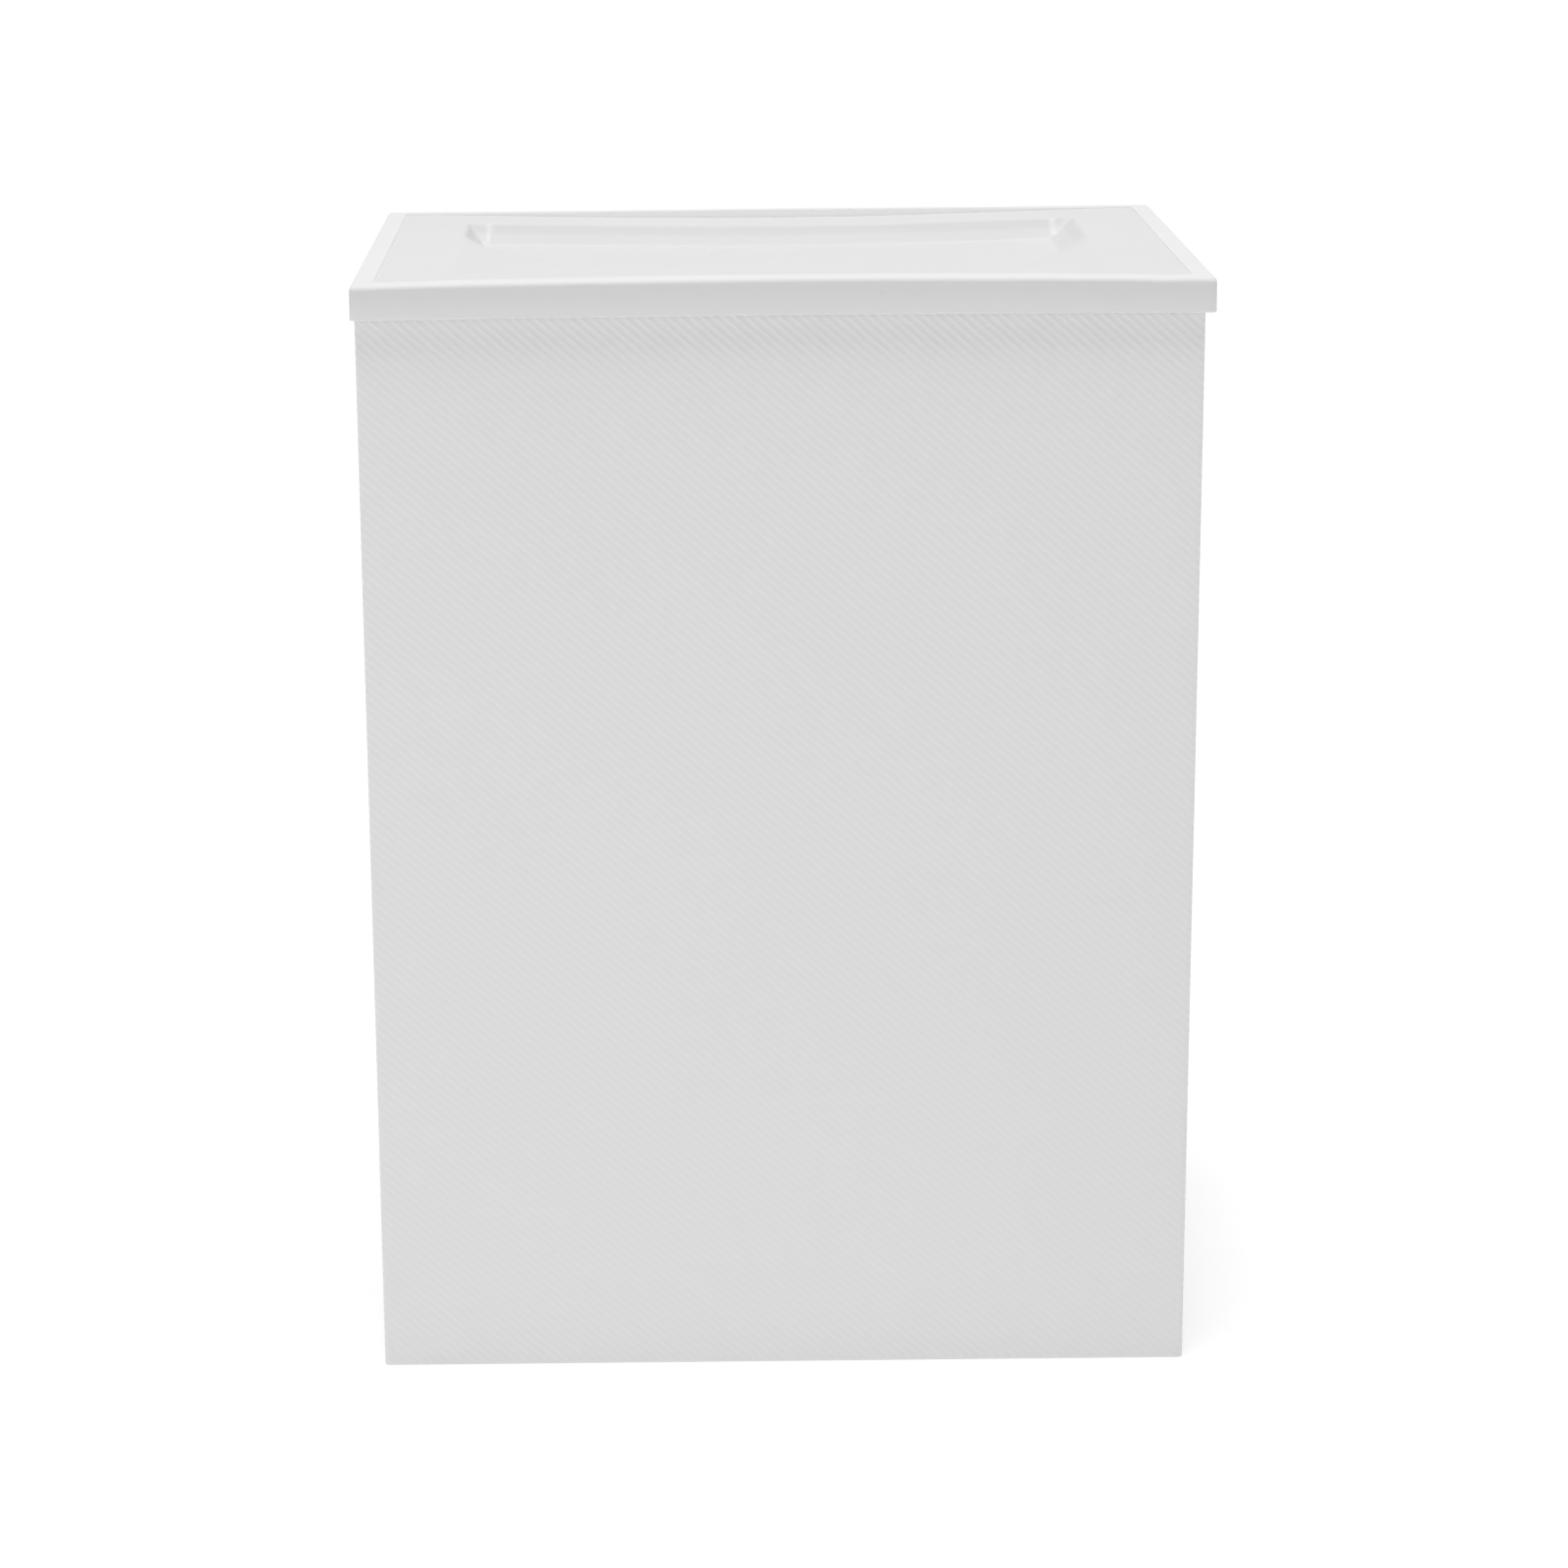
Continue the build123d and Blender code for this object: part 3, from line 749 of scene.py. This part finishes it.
def lid_insert():
    """The insert: border, sloped recess and dish in one sagging sheet of even wall, with screw bosses."""
    frame_low, frame_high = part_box("lid_frame")
    border = frame_high.z - PANEL_STEP
    half_x = (frame_high.x - frame_low.x) / 2 - RIM_WIDTH
    half_y = (frame_high.y - frame_low.y) / 2 - RIM_WIDTH
    centre_x = (frame_high.x + frame_low.x) / 2
    vertices, faces = insert_sheet(half_x, half_y, centre_x, border)
    for x, y, _, _ in ear_places(half_x, half_y, centre_x):
        boss_top = border + insert_height(x - centre_x, y, half_x, half_y) - PANEL_THICK / 2
        boss_vertices, boss_faces = boss(x, y, frame_high.z - EAR_DROP, boss_top)
        faces += [[k + len(vertices) for k in face] for face in boss_faces]
        vertices += boss_vertices
    back = RECESS_DEPTH / 2
    # painted highlight along the pleats of the recess's back wall
    painted_highlight = [pleat(x - centre_x) * (back - BACK_RUN < y < back) for x, y, _ in vertices]
    piece = add_piece("lid_insert", vertices, faces, INSERT, "lid", INSERT_SHARP, painted_highlight)
    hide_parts("lid_panel")


def walls():
    """The folded sheet round front and sides, and the flat back sheet lapped over its flaps."""
    low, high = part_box("shell_wrap")
    flap_end = high.x - CAD_SHEET - FLAP
    corners = [(-flap_end, high.y), (low.x, high.y), (low.x, low.y),
               (high.x, low.y), (high.x, high.y), (flap_end, high.y)]
    ribbed_sheet("ribbed_wrap", corners, low.z, high.z, WRAP_PHASE, "shell_wrap")
    low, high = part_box("back_panel")
    corners = [(high.x, high.y), (low.x, high.y)]
    ribbed_sheet("ribbed_back", corners, low.z, high.z, BACK_PHASE, "back_panel")


def paint_cad_nodes():
    """Materials of the CAD nodes that keep their shape."""
    for name, material in (("top_rim", MOULDED), ("base_tray", MOULDED), ("seam_rivets", NYLON),
                           ("lid_screws", STEEL)):
        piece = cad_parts[name]
        piece.data.materials.clear()
        piece.data.materials.append(material)


# ---------------------------------------------------------------- stage, light, camera

def floor():
    """A wide pale floor that gives off a little light, so that the hamper hardly darkens it."""
    mesh = bpy.data.meshes.new("floor")
    corners = [(x * FLOOR_HALF, y * FLOOR_HALF, 0) for x, y in ((-1, -1), (1, -1), (1, 1), (-1, 1))]
    mesh.from_pydata(corners, [], [[0, 1, 2, 3]])
    material, tree, shader = new_material("studio_floor")
    place = tree.nodes.new("ShaderNodeTexCoord").outputs["Object"]
    clouds = node(tree, "ShaderNodeTexNoise", Scale=1.5, Detail=3.0)
    tree.links.new(place, clouds.inputs["Vector"])
    colour = ramp(tree, clouds.outputs["Fac"], 0.3, 0.7, (0.44, 0.44, 0.44), (0.45, 0.45, 0.45))
    tree.links.new(colour, shader.inputs["Base Color"])
    shader.inputs["Roughness"].default_value = 0.9
    shader.inputs["Emission Color"].default_value = (1, 1, 1, 1)
    shader.inputs["Emission Strength"].default_value = FLOOR_GLOW
    mesh.materials.append(material)
    plane = bpy.data.objects.new("floor", mesh)
    bpy.context.scene.collection.objects.link(plane)


def sums(tree, operation, a, b):
    """One step of arithmetic on two sockets or numbers."""
    made = tree.nodes.new("ShaderNodeMath")
    made.operation = operation
    for socket, value in zip(made.inputs, (a, b)):
        if isinstance(value, float):
            socket.default_value = value
        else:
            tree.links.new(value, socket)
    return made.outputs["Value"]


def sun(name, toward, strength, spread):
    """A distant soft light: the direction it shines in, its strength and its angular size in degrees."""
    data = bpy.data.lights.new(name, "SUN")
    data.energy = strength
    data.angle = math.radians(spread)
    lamp = bpy.data.objects.new(name, data)
    lamp.rotation_mode = "QUATERNION"
    lamp.rotation_quaternion = Vector(toward).to_track_quat("-Z", "Y")
    bpy.context.scene.collection.objects.link(lamp)


def softbox(name, place, toward, size, power):
    """A rectangular soft light that the camera doesn't see."""
    data = bpy.data.lights.new(name, "AREA")
    data.shape = "RECTANGLE"
    data.size, data.size_y = size
    data.energy = power
    lamp = bpy.data.objects.new(name, data)
    lamp.location = place
    lamp.rotation_mode = "QUATERNION"
    lamp.rotation_quaternion = Vector(toward).to_track_quat("-Z", "Y")
    lamp.visible_camera = False
    bpy.context.scene.collection.objects.link(lamp)


def studio():
    """White surroundings, brighter at the sides and behind, with lights overhead and in front."""
    world = bpy.data.worlds.new("studio")
    bpy.context.scene.world = world
    world.use_nodes = True
    tree = world.node_tree
    place = tree.nodes.new("ShaderNodeTexCoord").outputs["Generated"]
    split = tree.nodes.new("ShaderNodeSeparateXYZ")
    tree.links.new(place, split.inputs["Vector"])
    across = sums(tree, "MULTIPLY", split.outputs["X"], split.outputs["X"])
    behind = sums(tree, "MAXIMUM", split.outputs["Y"], 0.0)
    behind = sums(tree, "MULTIPLY", behind, behind)
    glow = sums(tree, "MULTIPLY", across, SIDE_GLOW - FRONT_GLOW)
    glow = sums(tree, "ADD", glow, sums(tree, "MULTIPLY", behind, BACK_GLOW - FRONT_GLOW))
    glow = sums(tree, "ADD", glow, FRONT_GLOW)
    overhead = sums(tree, "MULTIPLY", split.outputs["Z"], ZENITH_GLOW)
    fade = sums(tree, "SUBTRACT", 1.0, split.outputs["Z"])
    glow = sums(tree, "ADD", sums(tree, "MULTIPLY", glow, fade), overhead)
    background = tree.nodes["Background"]
    background.inputs["Color"].default_value = (1, 1, 1, 1)
    tree.links.new(glow, background.inputs["Strength"])
    sun("overhead", TOP_TOWARD, TOP_LIGHT, TOP_SPREAD)
    softbox("front_box", FRONT_PLACE, FRONT_TOWARD, FRONT_SIZE, FRONT_LIGHT)
    softbox("low_fill", LOW_PLACE, LOW_TOWARD, LOW_SIZE, LOW_LIGHT)
    bpy.context.scene.view_settings.view_transform = "Standard"
    bpy.context.scene.view_settings.look = "None"


def camera():
    """A long lens in front, slightly above the lid and looking down."""
    data = bpy.data.cameras.new("camera")
    data.lens = CAMERA_LENS
    data.sensor_width = CAMERA_SENSOR
    data.shift_x, data.shift_y = CAMERA_SHIFT
    eye = bpy.data.objects.new("camera", data)
    upright = Matrix.Rotation(math.radians(90) - CAMERA_DOWN, 4, "X")
    eye.matrix_world = Matrix.Translation(CAMERA_PLACE) @ upright @ Matrix.Rotation(-CAMERA_ROLL, 4, "Z")
    bpy.context.scene.collection.objects.link(eye)
    bpy.context.scene.camera = eye


camera()
studio()
floor()
walls()
lid_rim()
lid_insert()
paint_cad_nodes()

bpy.context.view_layer.update()
